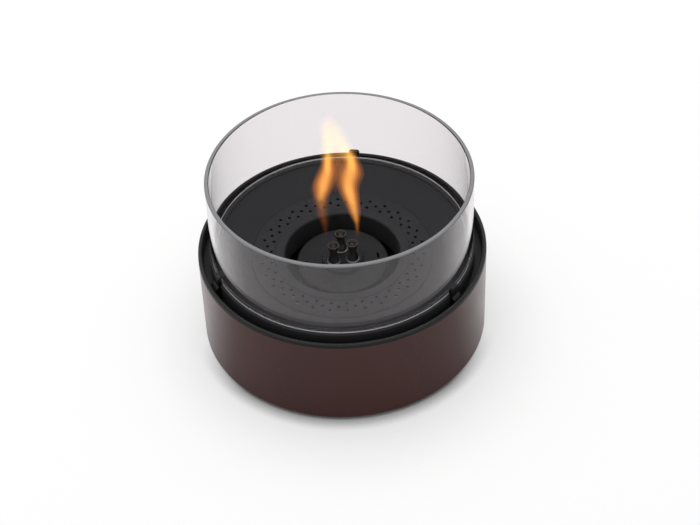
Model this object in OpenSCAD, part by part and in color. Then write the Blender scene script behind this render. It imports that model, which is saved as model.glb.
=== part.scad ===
// Tabletop fire bowl: a glass wind guard round a three-wick liquid-fuel burner, in a round base.
// Millimetres, +Z up. The origin is the centre of the footprint, on the table.

/* [Glass] */
// Outer diameter of the glass cylinder
glass_d = 181.2; // [150:0.2:220]
// Height of the glass cylinder
glass_h = 60; // [40:0.2:100]
// Wall thickness of the glass
glass_wall = 3; // [2:0.1:4]
// Rounding of the ground glass edges
glass_edge_r = 1; // [0.2:0.1:1.2]

/* [Base shell] */
// Height of the base shell, without its pads
shell_h = 67; // [60:1:84]
// Wall thickness of the base shell
shell_wall = 1.5; // [1.2:0.1:5]
// Rounding of the shell's top outer edge
shell_top_r = 0.5; // [0.2:0.1:1.8]
// Rounding of the shell's bottom outer edge
shell_bottom_r = 1.5; // [0.5:0.1:4]
// Width of the shell's inner flange, from the wall's inner face
flange_w = 18; // [15:0.5:24]
// Thickness of the shell's inner flange
flange_t = 3; // [2:0.1:5]

/* [Base plate] */
// Thickness of the base plate
plate_t = 1.5; // [1:0.1:3]
// Gap between the base plate and the shell
plate_gap = 0.5; // [0.2:0.1:1]
// Number of screws that hold the base plate
base_screw_count = 4; // [3:1:8]
// Diameter of the base screws
base_screw_d = 3; // [2:0.1:4]
// Diameter of the base screws' heads
base_head_d = 5.6; // [4.4:0.1:8]
// Height of the base screws' heads
base_head_h = 1.3; // [0.8:0.1:1.6]
// How far the base screws reach past the plate
base_screw_end = 1.5; // [0.5:0.1:3]

/* [Foot pads] */
// Number of foot pads
pad_count = 4; // [3:1:6]
// Diameter of a foot pad
pad_d = 14; // [8:0.5:14.5]
// Height of a foot pad
pad_h = 2; // [1.8:0.1:6]
// Bevel round a foot pad's lower edge
pad_bevel = 0.5; // [0.2:0.1:0.9]

/* [Liner pan] */
// Sheet thickness of the liner pan
pan_t = 1.2; // [0.8:0.1:2]
// Gap between the liner pan and the shell
pan_gap = 0.3; // [0.2:0.1:1]
// Width of the open trough between tray and pan
trough_w = 5; // [2.6:0.1:8]
// Width of the pan's rolled rim
rim_w = 2.9; // [2:0.1:3]
// Height of the rolled rim above the shell
rim_h = 3.1; // [1.6:0.1:5]
// Drop from the shell's top to the pan's shelf
shelf_drop = 8; // [5:0.5:12]
// How far the shelf reaches inside the tray's skirt
shelf_inset = 4.8; // [2:0.1:8]
// Rounding where the pan's walls meet its floor and its shelf
pan_bend_r = 2; // [0.5:0.1:4]

/* [Insulation and can seat] */
// Thickness of the insulating board
board_t = 4; // [2:0.5:8]
// Room between the board's edge and the base screws
board_room = 2.5; // [1:0.5:6]
// Height of the can seat's ring
seat_h = 6; // [3:0.5:12]
// Sheet thickness of the can seat
seat_t = 1.2; // [0.8:0.1:2]
// Width of the can seat's foot flange
seat_flange_w = 9; // [8:0.5:14]
// Gap between the can and its seat
seat_gap = 0.3; // [0.2:0.1:1]
// Number of screws through pan and can seat
pan_screw_count = 3; // [3:1:6]
// Angle of the first pan screw
pan_screw_turn = 90; // [0:1:120]
// Diameter of the pan screws
pan_screw_d = 3; // [2:0.1:4]
// Diameter of the pan screws' heads
pan_head_d = 5.6; // [4.4:0.1:8]
// Height of the pan screws' heads
pan_head_h = 1.8; // [0.8:0.1:2.5]
// Width across the flats of the pan nuts
pan_nut_w = 5.5; // [4.5:0.1:6.5]
// Height of the pan nuts
pan_nut_h = 2.4; // [1.5:0.1:4]
// How far the pan screws reach past their nuts
pan_screw_end = 1; // [0.5:0.1:3]

/* [Burner tray] */
// Sheet thickness of the tray
tray_t = 1.2; // [0.8:0.1:2]
// Height of the tray's skirt, from the shelf to the glass ledge
skirt_h = 13; // [10:0.1:20]
// How far the glass ledge reaches outside the glass
ledge_outer = 1.4; // [1:0.1:3]
// How far the glass ledge reaches inside the glass
ledge_inner = 2.6; // [1:0.1:6]
// Drop of the small step inside the glass ledge
ledge_step = 1; // [0.4:0.1:2]
// Rounding of the tray's outer edge
tray_edge_r = 1.1; // [0.4:0.1:1.4]
// Depth of the tray's dish below the glass ledge
dish_depth = 11; // [5:0.1:12]
// Air gap between the fuel can and the tray's centre hole
air_gap = 8; // [5:0.5:12]
// Width of the flat ring round the centre hole
ring_w = 23.3; // [21:0.1:28]
// Width of the raised collar on the flat ring
collar_w = 7.4; // [4:0.1:8]
// Height of the raised collar
collar_h = 0.6; // [0.2:0.1:1]
// Step down at the outer edge of the perforated ring
ring_step = 0.8; // [0.2:0.1:1]
// Depth of the lip round the centre hole
lip_h = 18; // [4:0.5:22]
// Rounding of the lip's upper edge
lip_r = 1.6; // [0.5:0.1:2]
// Air holes in each row
air_hole_count = 30; // [12:1:36]
// Rows of air holes
air_row_count = 3; // [1:1:3]
// Diameter of an air hole
air_hole_d = 2.2; // [1:0.1:3]
// Distance from the centre hole's edge to the first row of air holes
air_row_start = 9.7; // [9.5:0.1:11]
// Distance between rows of air holes
air_row_step = 3.35; // [3.2:0.05:4]
// Angle of the first air hole
air_hole_turn = 8; // [0:0.5:30]

/* [Glass clips] */
// Number of glass clips
clip_count = 3; // [3:1:6]
// Angle of the first glass clip
clip_turn = 83; // [0:1:120]
// Width of a glass clip
clip_w = 8; // [6:0.5:14]
// Thickness of a clip's tab outside the skirt
clip_t = 1.6; // [1:0.1:2]
// Height of a clip's tab above the glass ledge
clip_rise = 5.6; // [3:0.1:10]
// Rounding of a clip's upper corners
clip_corner_r = 2; // [0.5:0.1:2.8]
// Gap between a clip and the glass, and between a clip and the pan
clip_gap = 0.3; // [0.2:0.1:0.6]
// Room under a clip, above the pan's shelf
clip_foot_room = 1; // [0.3:0.1:2]
// Diameter of the clip rivets
rivet_d = 2.4; // [1.5:0.1:3]
// Diameter of the clip rivets' heads
rivet_head_d = 4.4; // [3.5:0.1:5]
// Height of the clip rivets' heads
rivet_head_h = 0.9; // [0.5:0.1:1.5]

/* [Fuel can] */
// Outer diameter of the fuel can, over its lid
can_d = 64; // [56:0.5:72]
// Height of the fuel can with its lid
can_h = 44.5; // [36:0.5:50]
// Sheet thickness of the can and its lid
can_t = 0.9; // [0.6:0.1:1.5]
// Fit between the lid's skirt and the can
lid_fit = 0.1; // [0.05:0.05:0.3]
// Depth of the lid's skirt
lid_skirt_h = 3.5; // [2:0.5:12]
// Rounding of the lid's edge and the can's bottom edge
can_edge_r = 1.5; // [0.5:0.1:2.5]
// Number of lifting slots in the lid
lift_slot_count = 2; // [1:1:4]
// Length of a lifting slot
lift_slot_l = 5; // [3:0.5:8]
// Width of a lifting slot
lift_slot_w = 1.4; // [0.8:0.1:2]
// Distance from the lid's edge to a lifting slot
lift_slot_inset = 7; // [5:0.5:9]
// Angle of the first lifting slot
lift_slot_turn = 7; // [0:1:90]

/* [Wick holder] */
// Pitch radius of the three nozzles
nozzle_pitch_r = 7.6; // [6.6:0.1:10]
// Number of nozzles
nozzle_count = 3; // [1:1:3]
// Angle of the first nozzle
nozzle_turn = 96.5; // [0:0.5:120]
// Room between a nozzle nut and the plug's side
plug_room = 0.9; // [0.4:0.1:3]
// Gap between the plug and the lid's neck hole
plug_gap = 0.3; // [0.2:0.1:0.6]
// How far the plug's flange overlaps the lid
plug_flange_w = 2.2; // [1.5:0.1:4]
// Thickness of the plug's flange
plug_flange_t = 2; // [1:0.1:4]
// Bevel round the plug's flange
plug_bevel = 0.6; // [0.2:0.1:0.9]
// Depth of the plug below the lid's top
plug_depth = 6; // [3:0.5:12]
// Thickness of the gasket under the flange
gasket_t = 0.8; // [0.4:0.1:2]
// Height of a nozzle above the plug
nozzle_h = 15; // [10:0.5:25]
// Diameter of a nozzle's foot
nozzle_foot_d = 9.4; // [7:0.1:11]
// Height of the straight edge of a nozzle's foot
nozzle_foot_h = 1; // [0.5:0.1:2]
// Height of a nozzle's waist above the plug
nozzle_waist_h = 8; // [4:0.5:9]
// Diameter of a nozzle's neck and stem
nozzle_neck_d = 4.2; // [3.9:0.1:5]
// Diameter of a nozzle's flared mouth
nozzle_mouth_d = 7.5; // [6:0.1:10]
// Wall of the flared mouth at its edge
nozzle_mouth_wall = 0.6; // [0.4:0.1:1]
// Depth of the funnel inside the mouth
nozzle_funnel_h = 4; // [2:0.5:6]
// Width across the flats of the nozzle nuts
nozzle_nut_w = 6; // [5.5:0.1:7]
// Height of the nozzle nuts
nozzle_nut_h = 2.2; // [1.5:0.1:4]
// How far the nozzle stems reach past their nuts
nozzle_stem_end = 1; // [0.5:0.1:3]
// Diameter of a wick rod
wick_d = 2.8; // [2:0.1:3]
// Bevel round a wick's upper end
wick_bevel = 0.4; // [0.1:0.1:0.8]
// Room below a wick, above the can's floor
wick_foot_room = 2; // [0.5:0.5:6]
// How far a wick's end lies below the nozzle's mouth
wick_recess = 1.2; // [0:0.1:4]

/* [Fits] */
// Radial fit of screws, rivets, stems and wicks in their holes
fit = 0.06; // [0.03:0.01:0.15]

/* [Hidden] */
$fn = 96;
arc_steps = 6;
curve_steps = 10;
// A cut runs this far past the faces that it opens
over = 1;
// Hexagon socket of a screw, as shares of its shank's diameter and its head's height
socket_width_share = 0.7;
socket_depth_share = 0.6;
// Largest rounding of an edge, as a share of its wall
edge_share = 0.45;

// Radii, from the glass outwards
glass_r = glass_d / 2;
glass_in = glass_r - glass_wall;
ledge_in = glass_in - ledge_inner;
skirt_r = glass_r + ledge_outer;
skirt_in = skirt_r - tray_t;
pan_in = skirt_r + trough_w;
pan_out = pan_in + pan_t;
shell_in = pan_out + pan_gap;
shell_r = shell_in + shell_wall;
well_in = skirt_in - shelf_inset;
well_out = well_in + pan_t;
flange_in = shell_in - flange_w;
plate_r = shell_in - plate_gap;
foot_circle_r = flange_in + flange_w / 2;
board_r = foot_circle_r - base_screw_d / 2 - board_room;

// Radii, from the fuel can outwards
can_r = can_d / 2;
can_body_r = can_r - can_t - lid_fit;
hole_r = can_r + air_gap;
collar_r = hole_r + collar_w;
ring_r = hole_r + ring_w;
seat_in = can_body_r + seat_gap;
seat_out = seat_in + seat_t;
seat_flange_r = seat_out + seat_flange_w;
pan_screw_r = seat_out + seat_flange_w / 2;

// Radii of the wick holder
nut_corner_r = nozzle_nut_w / 2 / cos(30);
plug_r = nozzle_pitch_r + nut_corner_r + plug_room;
neck_r = plug_r + plug_gap;
plug_flange_r = neck_r + plug_flange_w;
stem_r = nozzle_neck_d / 2;
wick_bore_r = wick_d / 2 + fit;

// Heights, from the table up
flange_z = pad_h;
plate_z = flange_z + flange_t;
board_z = plate_z + plate_t;
pan_z = board_z + board_t;
floor_z = pan_z + pan_t;
seat_top_z = floor_z + seat_t;
shell_top_z = pad_h + shell_h;
shelf_z = shell_top_z - shelf_drop;
ledge_z = shelf_z + skirt_h;
ring_z = ledge_z - dish_depth;
clip_z = shelf_z + clip_foot_room;
clip_top_z = ledge_z + clip_rise;
rivet_z = (clip_z + shell_top_z) / 2;
lid_z = floor_z + can_h;
can_top_z = lid_z - can_t;
plug_z = lid_z + gasket_t;
nozzle_z = plug_z + plug_flange_t;
nut_z = lid_z - plug_depth - nozzle_nut_h;

// Colours, as they look
lacquer_brown = "#46322f";
steel_black = "#2c2c2e";
pan_black = "#232324";
clear_glass = [0.86, 0.88, 0.88, 0.35];
rubber_black = "#1c1c1c";
zinc_grey = "#a7a9aa";
board_white = "#d9d5c9";
can_black = "#303032";
nozzle_steel = "#4a443f";
wick_white = "#d8d2c2";

// Names with a running number
function numbered(name, count) = [for (i = [1:count]) str(name, "_", i)];

// Points of an arc round a centre, from one angle to another
function arc(centre, r, from, to) =
    [for (i = [0:arc_steps]) centre + r * [cos(from + (to - from) * i / arc_steps),
                                           sin(from + (to - from) * i / arc_steps)]];

// Points of a smooth curve from one profile point to another, upright at both ends
function bell(low, high) =
    [for (i = [0:curve_steps]) let (t = i / curve_steps)
        [low[0] + (high[0] - low[0]) * (1 - cos(180 * t)) / 2, low[1] + (high[1] - low[1]) * t]];

// Turns and copies children round the Z axis
module around(count, turn = 0) {
    for (i = [0:count - 1])
        rotate([0, 0, turn + i * 360 / count])
            children();
}

// A ring of rectangular section
module ring(inner, outer, low, high) {
    rotate_extrude()
        translate([inner, low])
            square([outer - inner, high - low]);
}

// A pan-head screw along +Z, with its head below z = 0 and a hexagon socket
module screw(d, head_d, head_h, length) {
    difference() {
        union() {
            translate([0, 0, -head_h])
                cylinder(d = head_d, h = head_h);
            cylinder(d = d, h = length);
        }
        translate([0, 0, -head_h - over])
            cylinder(d = d * socket_width_share, h = over + head_h * socket_depth_share, $fn = 6);
    }
}

// A hexagon nut standing on z = 0
module nut(width, height, bore_r) {
    difference() {
        cylinder(d = width / cos(30), h = height, $fn = 6);
        translate([0, 0, -over])
            cylinder(r = bore_r, h = height + 2 * over);
    }
}

// Round shell with rounded edges and an inner flange at the bottom
module base_shell() {
    top_r = min(shell_top_r, shell_wall * edge_share);
    outline = concat(
        [[flange_in, flange_z]],
        arc([shell_r - shell_bottom_r, flange_z + shell_bottom_r], shell_bottom_r, -90, 0),
        arc([shell_r - top_r, shell_top_z - top_r], top_r, 0, 90),
        [[shell_in, shell_top_z], [shell_in, plate_z], [flange_in, plate_z]]
    );
    color(lacquer_brown)
        difference() {
            rotate_extrude()
                polygon(outline);
            around(base_screw_count)
                translate([foot_circle_r, 0, flange_z - over])
                    cylinder(r = base_screw_d / 2 + fit, h = flange_t + 2 * over);
        }
}

// Disc that closes the bottom, on the shell's flange
module base_plate() {
    color(zinc_grey)
        difference() {
            translate([0, 0, plate_z])
                cylinder(r = plate_r, h = plate_t);
            around(base_screw_count)
                translate([foot_circle_r, 0, plate_z - over])
                    cylinder(r = base_screw_d / 2 + fit, h = plate_t + 2 * over);
            around(pan_screw_count, pan_screw_turn)
                translate([pan_screw_r, 0, plate_z - over])
                    cylinder(r = pan_screw_d / 2 + fit, h = plate_t + 2 * over);
        }
}

// Screws through the shell's flange into the base plate
module base_screws() {
    color(zinc_grey)
        around(base_screw_count)
            translate([foot_circle_r, 0, flange_z])
                screw(base_screw_d, base_head_d, base_head_h, flange_t + plate_t + base_screw_end);
}

// One bevelled pad under the shell's flange, between two screws
module foot_pad(i) {
    color(rubber_black)
        rotate([0, 0, (i + 0.5) * 360 / pad_count])
            translate([foot_circle_r, 0, 0])
                rotate_extrude()
                    polygon([[0, 0], [pad_d / 2 - pad_bevel, 0], [pad_d / 2, pad_bevel],
                             [pad_d / 2, pad_h], [0, pad_h]]);
}

// Pressed pan with a rolled rim on the shell, a shelf for the tray and a deep well
module liner_pan() {
    rim_r = rim_w / 2;
    outer_bend = pan_bend_r + pan_t;
    outline = concat(
        [[0, pan_z]],
        arc([well_out - outer_bend, pan_z + outer_bend], outer_bend, -90, 0),
        [[well_out, shelf_z - pan_t], [pan_out, shelf_z - pan_t], [pan_out, shell_top_z]],
        [[pan_in + rim_w, shell_top_z]],
        arc([pan_in + rim_r, shell_top_z + rim_h - rim_r], rim_r, 0, 180),
        [[pan_in, shelf_z]],
        arc([well_in + pan_bend_r, shelf_z - pan_bend_r], pan_bend_r, 90, 180),
        arc([well_in - pan_bend_r, floor_z + pan_bend_r], pan_bend_r, 0, -90),
        [[0, floor_z]]
    );
    color(pan_black)
        difference() {
            rotate_extrude()
                polygon(outline);
            around(pan_screw_count, pan_screw_turn)
                translate([pan_screw_r, 0, pan_z - over])
                    cylinder(r = pan_screw_d / 2 + fit, h = pan_t + 2 * over);
        }
}

// Board that keeps the burner's heat from the plate
module insulation_disc() {
    color(board_white)
        difference() {
            translate([0, 0, board_z])
                cylinder(r = board_r, h = board_t);
            around(pan_screw_count, pan_screw_turn)
                translate([pan_screw_r, 0, board_z - over])
                    cylinder(r = pan_screw_d / 2 + fit, h = board_t + 2 * over);
        }
}

// Upright ring with a foot flange that keeps the can in the middle of the pan
module can_seat_ring() {
    color(zinc_grey)
        difference() {
            union() {
                ring(seat_in, seat_out, floor_z, floor_z + seat_h);
                ring(seat_in, seat_flange_r, floor_z, seat_top_z);
            }
            around(pan_screw_count, pan_screw_turn)
                translate([pan_screw_r, 0, floor_z - over])
                    cylinder(r = pan_screw_d / 2 + fit, h = seat_t + 2 * over);
        }
}

// Screws through plate, board, pan and can seat
module pan_screws() {
    stack = plate_t + board_t + pan_t + seat_t;
    color(zinc_grey)
        around(pan_screw_count, pan_screw_turn)
            translate([pan_screw_r, 0, plate_z])
                screw(pan_screw_d, pan_head_d, pan_head_h, stack + pan_nut_h + pan_screw_end);
}

// Nuts on the can seat's flange
module pan_nuts() {
    color(zinc_grey)
        around(pan_screw_count, pan_screw_turn)
            translate([pan_screw_r, 0, seat_top_z])
                nut(pan_nut_w, pan_nut_h, pan_screw_d / 2 + fit);
}

// Pressed dish with a glass ledge, a skirt, a perforated ring and a lipped centre hole
module burner_tray() {
    outline = concat(
        [[hole_r, ring_z - lip_h]],
        arc([hole_r + lip_r, ring_z + collar_h - lip_r], lip_r, 180, 90),
        [[collar_r - collar_h, ring_z + collar_h], [collar_r, ring_z]],
        [[ring_r - ring_step, ring_z], [ring_r, ring_z - ring_step]],
        [[ledge_in, ledge_z - ledge_step], [ledge_in + ledge_step / 2, ledge_z]],
        arc([skirt_r - tray_edge_r, ledge_z - tray_edge_r], tray_edge_r, 90, 0),
        [[skirt_r, shelf_z], [skirt_in, shelf_z], [skirt_in, ledge_z - tray_t]],
        [[ledge_in + ledge_step / 2, ledge_z - tray_t], [ledge_in, ledge_z - ledge_step - tray_t]],
        [[ring_r, ring_z - ring_step - tray_t], [ring_r - ring_step, ring_z - tray_t]],
        [[hole_r + tray_t, ring_z - tray_t], [hole_r + tray_t, ring_z - lip_h]]
    );
    hole_step = 360 / air_hole_count;
    color(steel_black)
        difference() {
            rotate_extrude()
                polygon(outline);
            for (row = [0:air_row_count - 1])
                around(air_hole_count, air_hole_turn + (row % 2) * hole_step / 2)
                    translate([hole_r + air_row_start + row * air_row_step, 0, ring_z - tray_t - over])
                        cylinder(d = air_hole_d, h = tray_t + 2 * over, $fn = 24);
            around(clip_count, clip_turn)
                translate([skirt_in - over, 0, rivet_z])
                    rotate([0, 90, 0])
                        cylinder(r = rivet_d / 2 + fit, h = tray_t + 2 * over, $fn = 32);
        }
}

// One tab on the tray's skirt: its head stands by the glass and its block fills the trough
module glass_clip(i) {
    block_top_z = shell_top_z;
    block_r = pan_in - clip_gap;
    tab_r = skirt_r + clip_t;
    section = [
        [skirt_r, clip_z], [block_r, clip_z], [block_r, block_top_z],
        [tab_r, block_top_z + block_r - tab_r], [tab_r, clip_top_z],
        [glass_r + clip_gap, clip_top_z], [glass_r + clip_gap, ledge_z], [skirt_r, ledge_z]
    ];
    half_w = clip_w / 2;
    corner_z = clip_top_z - clip_corner_r;
    face = concat(
        [[-half_w, clip_z - over], [half_w, clip_z - over]],
        arc([half_w - clip_corner_r, corner_z], clip_corner_r, 0, 90),
        arc([clip_corner_r - half_w, corner_z], clip_corner_r, 90, 180)
    );
    rivet_end_r = skirt_r + clip_t;
    color(pan_black)
        rotate([0, 0, clip_turn + i * 360 / clip_count])
            difference() {
                intersection() {
                    rotate_extrude()
                        polygon(section);
                    rotate([90, 0, 90])
                        linear_extrude(height = pan_in)
                            polygon(face);
                }
                translate([skirt_in, 0, rivet_z])
                    rotate([0, 90, 0])
                        cylinder(r = rivet_d / 2 + fit, h = rivet_end_r - skirt_in + fit, $fn = 32);
            }
}

// Rivets from inside the skirt into the clips
module clip_rivets() {
    head_face = sqrt(pow(skirt_in, 2) - pow(rivet_head_d / 2, 2)) - fit / 2;
    color(zinc_grey)
        around(clip_count, clip_turn)
            translate([head_face, 0, rivet_z])
                rotate([0, 90, 0]) {
                    translate([0, 0, -rivet_head_h])
                        cylinder(d = rivet_head_d, h = rivet_head_h, $fn = 32);
                    cylinder(d = rivet_d, h = skirt_r + clip_t - head_face, $fn = 32);
                }
}

// Clear tube with ground, rounded edges
module glass_cylinder() {
    edge_r = min(glass_edge_r, glass_wall * edge_share);
    top_z = ledge_z + glass_h;
    outline = concat(
        arc([glass_in + edge_r, ledge_z + edge_r], edge_r, 180, 270),
        arc([glass_r - edge_r, ledge_z + edge_r], edge_r, 270, 360),
        arc([glass_r - edge_r, top_z - edge_r], edge_r, 0, 90),
        arc([glass_in + edge_r, top_z - edge_r], edge_r, 90, 180)
    );
    color(clear_glass)
        rotate_extrude()
            polygon(outline);
}

// Drawn can, open at the top
module fuel_can() {
    inner_edge_r = max(can_edge_r - can_t, can_t * edge_share);
    outline = concat(
        [[0, floor_z]],
        arc([can_body_r - can_edge_r, floor_z + can_edge_r], can_edge_r, -90, 0),
        [[can_body_r, can_top_z], [can_body_r - can_t, can_top_z]],
        arc([can_body_r - can_t - inner_edge_r, floor_z + can_t + inner_edge_r], inner_edge_r, 0, -90),
        [[0, floor_z + can_t]]
    );
    color(can_black)
        rotate_extrude()
            polygon(outline);
}

// Pressed lid over the can, with a neck hole and lifting slots
module can_lid() {
    lid_in = can_body_r + lid_fit;
    slot_r = can_r - lift_slot_inset;
    outline = concat(
        [[lid_in, can_top_z - lid_skirt_h], [can_r, can_top_z - lid_skirt_h]],
        arc([can_r - can_edge_r, lid_z - can_edge_r], can_edge_r, 0, 90),
        [[neck_r, lid_z], [neck_r, can_top_z], [lid_in, can_top_z]]
    );
    color(can_black)
        difference() {
            rotate_extrude()
                polygon(outline);
            around(lift_slot_count, lift_slot_turn)
                translate([slot_r - lift_slot_w / 2, -lift_slot_l / 2, can_top_z - over])
                    cube([lift_slot_w, lift_slot_l, can_t + 2 * over]);
        }
}

// Round plug with a flange and a bore for each nozzle
module wick_plug() {
    outline = [
        [0, lid_z - plug_depth], [plug_r, lid_z - plug_depth], [plug_r, plug_z], [plug_flange_r, plug_z],
        [plug_flange_r, nozzle_z - plug_bevel], [plug_flange_r - plug_bevel, nozzle_z], [0, nozzle_z]
    ];
    color(can_black)
        difference() {
            rotate_extrude()
                polygon(outline);
            around(nozzle_count, nozzle_turn)
                translate([nozzle_pitch_r, 0, lid_z - plug_depth - over])
                    cylinder(r = stem_r + fit, h = nozzle_z - lid_z + plug_depth + 2 * over);
        }
}

// Flat gasket between the plug's flange and the lid
module plug_gasket() {
    color(rubber_black)
        ring(plug_r + fit, plug_flange_r, lid_z, plug_z);
}

// One flared wick tube with a bell-shaped foot and a stem through the plug
module wick_nozzle(i) {
    foot_z = nozzle_z + nozzle_foot_h;
    top_z = nozzle_z + nozzle_h;
    waist_z = nozzle_z + nozzle_waist_h;
    lip_z = top_z - nozzle_mouth_wall;
    mouth_in = nozzle_mouth_d / 2 - nozzle_mouth_wall;
    outline = concat(
        [[wick_bore_r, nut_z - nozzle_stem_end], [stem_r, nut_z - nozzle_stem_end], [stem_r, nozzle_z]],
        [[nozzle_foot_d / 2, nozzle_z]],
        bell([nozzle_foot_d / 2, foot_z], [stem_r, waist_z]),
        bell([stem_r, waist_z + nozzle_foot_h], [nozzle_mouth_d / 2, lip_z]),
        [[nozzle_mouth_d / 2, top_z], [mouth_in, top_z], [wick_bore_r, top_z - nozzle_funnel_h]]
    );
    color(nozzle_steel)
        rotate([0, 0, nozzle_turn + i * 360 / nozzle_count])
            translate([nozzle_pitch_r, 0, 0])
                rotate_extrude()
                    polygon(outline);
}

// One glass-fibre rod that draws fuel from the can up to the nozzle's mouth
module wick(i) {
    low_z = floor_z + can_t + wick_foot_room;
    high_z = nozzle_z + nozzle_h - wick_recess;
    color(wick_white)
        rotate([0, 0, nozzle_turn + i * 360 / nozzle_count])
            translate([nozzle_pitch_r, 0, 0])
                rotate_extrude()
                    polygon([[0, low_z], [wick_d / 2, low_z], [wick_d / 2, high_z - wick_bevel],
                             [wick_d / 2 - wick_bevel, high_z], [0, high_z]]);
}

// Nuts on the nozzle stems, under the plug
module nozzle_nuts() {
    color(zinc_grey)
        around(nozzle_count, nozzle_turn)
            translate([nozzle_pitch_r, 0, nut_z])
                nut(nozzle_nut_w, nozzle_nut_h, stem_r + fit);
}

base_shell();
base_plate();
base_screws();
liner_pan();
insulation_disc();
can_seat_ring();
pan_screws();
pan_nuts();
burner_tray();
clip_rivets();
glass_cylinder();
fuel_can();
can_lid();
wick_plug();
plug_gasket();
nozzle_nuts();
for (i = [0:pad_count - 1])
    foot_pad(i);
for (i = [0:clip_count - 1])
    glass_clip(i);
for (i = [0:nozzle_count - 1])
    wick_nozzle(i);
for (i = [0:nozzle_count - 1])
    wick(i);
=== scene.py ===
import math

import bmesh
import bpy
from bpy.props import FloatProperty, FloatVectorProperty, IntProperty, PointerProperty
from bpy.types import Operator, Panel, PropertyGroup
from mathutils import Matrix, Vector


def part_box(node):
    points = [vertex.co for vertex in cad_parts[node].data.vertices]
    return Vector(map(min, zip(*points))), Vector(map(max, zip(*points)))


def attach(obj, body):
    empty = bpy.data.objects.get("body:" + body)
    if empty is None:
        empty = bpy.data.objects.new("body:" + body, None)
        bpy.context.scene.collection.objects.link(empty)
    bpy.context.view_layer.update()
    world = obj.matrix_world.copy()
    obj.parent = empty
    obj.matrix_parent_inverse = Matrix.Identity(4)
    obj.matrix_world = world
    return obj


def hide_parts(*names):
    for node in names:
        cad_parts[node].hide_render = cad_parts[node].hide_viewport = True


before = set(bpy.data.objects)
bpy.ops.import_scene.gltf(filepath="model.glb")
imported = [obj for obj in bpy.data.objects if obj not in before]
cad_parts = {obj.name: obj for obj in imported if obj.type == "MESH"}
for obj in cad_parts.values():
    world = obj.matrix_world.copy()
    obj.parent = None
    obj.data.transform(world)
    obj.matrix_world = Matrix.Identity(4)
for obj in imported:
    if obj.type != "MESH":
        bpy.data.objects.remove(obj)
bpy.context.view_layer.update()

bl_info = {
    "name": "Tabletop fire bowl",
    "version": (1, 0, 0),
    "blender": (4, 5, 0),
    "location": "View3D > Sidebar > Fire bowl",
    "description": "Makes the finished pieces of a tabletop fire bowl, and a studio for it",
    "category": "Object",
}

MM = 0.001
TINY = 1e-7
# Segments of a full turn on large and on small pieces, of a small hole, and of a rounded edge
TURN_STEPS = 192
SMALL_TURN_STEPS = 64
HOLE_STEPS = 20
EDGE_STEPS = 6
# Distance past a rounded edge at which a straight stretch begins
HOLD = 0.04 * MM
# Edges sharper than this stay creased under smooth shading
CREASE = math.radians(32)
# Faces of a CAD node that lie closer than this to one plane become one face
FLAT = math.radians(0.5)
# Broken edge of a punched hole, and softened edges of the fittings, the board and the gasket
HOLE_EDGE = 0.1 * MM
FITTING_EDGE, BOARD_EDGE, GASKET_EDGE = 0.15 * MM, 0.3 * MM, 0.1 * MM

# Glow that brings the lit paper up to white, near the object and beyond the lamp's reach
FLOOR_LIFT, FAR_LIFT = 0.45, 0.7
# Distances from the object between which the one turns into the other
WHITE_START, WHITE_END = 0.4, 1.4
# Place in front of the axis at which the paper's mirror image has lost its glow
FLOOR_DIM = -0.06
# Reach of the painted shadow before the base, the openness at which it is full, and where it ends at the
# sides
SHADE_REACH = 11 * MM
SHADE_FULL = 0.57
SHADE_FRONT, SHADE_SIDE = -0.07, -0.02
SHADE_SAMPLES = 6
# Half the floor's width, and its drop below the pads, so that the two share no plane
FLOOR_HALF, FLOOR_DROP = 30, 0.05 * MM
# Strength of the sky as light
SKY_LIGHT = 0.55
# Place of the lamp, the point that it faces, the side of its square and its power in watts
LAMP_PLACE, LAMP_AIM = Vector((-0.1, 0.25, 1.3)), Vector((0, 0, 0.06))
LAMP_SIDE, LAMP_POWER = 1.5, 11.0
# Place of the camera, its angles, and its lens and sensor in millimetres
CAMERA_PLACE = (0.00498, -0.9234, 0.91485)
CAMERA_TILT, CAMERA_ROLL = math.radians(43.03), math.radians(-2.298)
CAMERA_LENS, CAMERA_SENSOR = 92.77, 36


# Measures of the frame

def reach(name):
    """Outer radius of a round CAD node that stands on the axis."""
    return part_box(name)[1].x


def bottom(name):
    """Lowest height of a CAD node."""
    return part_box(name)[0].z


def top(name):
    """Greatest height of a CAD node."""
    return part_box(name)[1].z


def extent(name):
    """Outer radius, lowest height and greatest height of a round CAD node that stands on the axis."""
    return reach(name), bottom(name), top(name)


def middle(name):
    """Middle of a CAD node."""
    low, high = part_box(name)
    return (low + high) / 2


def half_width(name):
    """Radius of a round CAD node that stands beside the axis."""
    low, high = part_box(name)
    return (high.x - low.x) / 2


def numbered(stem):
    """Names of the CAD nodes that are this stem and a number, in order."""
    start = stem + "_"
    return sorted(
        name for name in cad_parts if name.startswith(start) and name[len(start):].isdigit())


# Properties

def linear(code):
    """Linear RGBA of an sRGB hex colour."""
    parts = [int(code[i:i + 2], 16) / 255 for i in (1, 3, 5)]
    return tuple(c / 12.92 if c <= 0.04045 else ((c + 0.055) / 1.055) ** 2.4 for c in parts) + (1.0,)


def length(name, description, default):
    """Property for a length in metres."""
    return FloatProperty(name=name, description=description, default=default, min=0, precision=5,
                         subtype="DISTANCE", unit="LENGTH")


def colour(name, description, code):
    """Property for a colour, from its sRGB hex code."""
    return FloatVectorProperty(name=name, description=description, default=linear(code), size=4,
                               min=0, max=1, subtype="COLOR")


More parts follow.
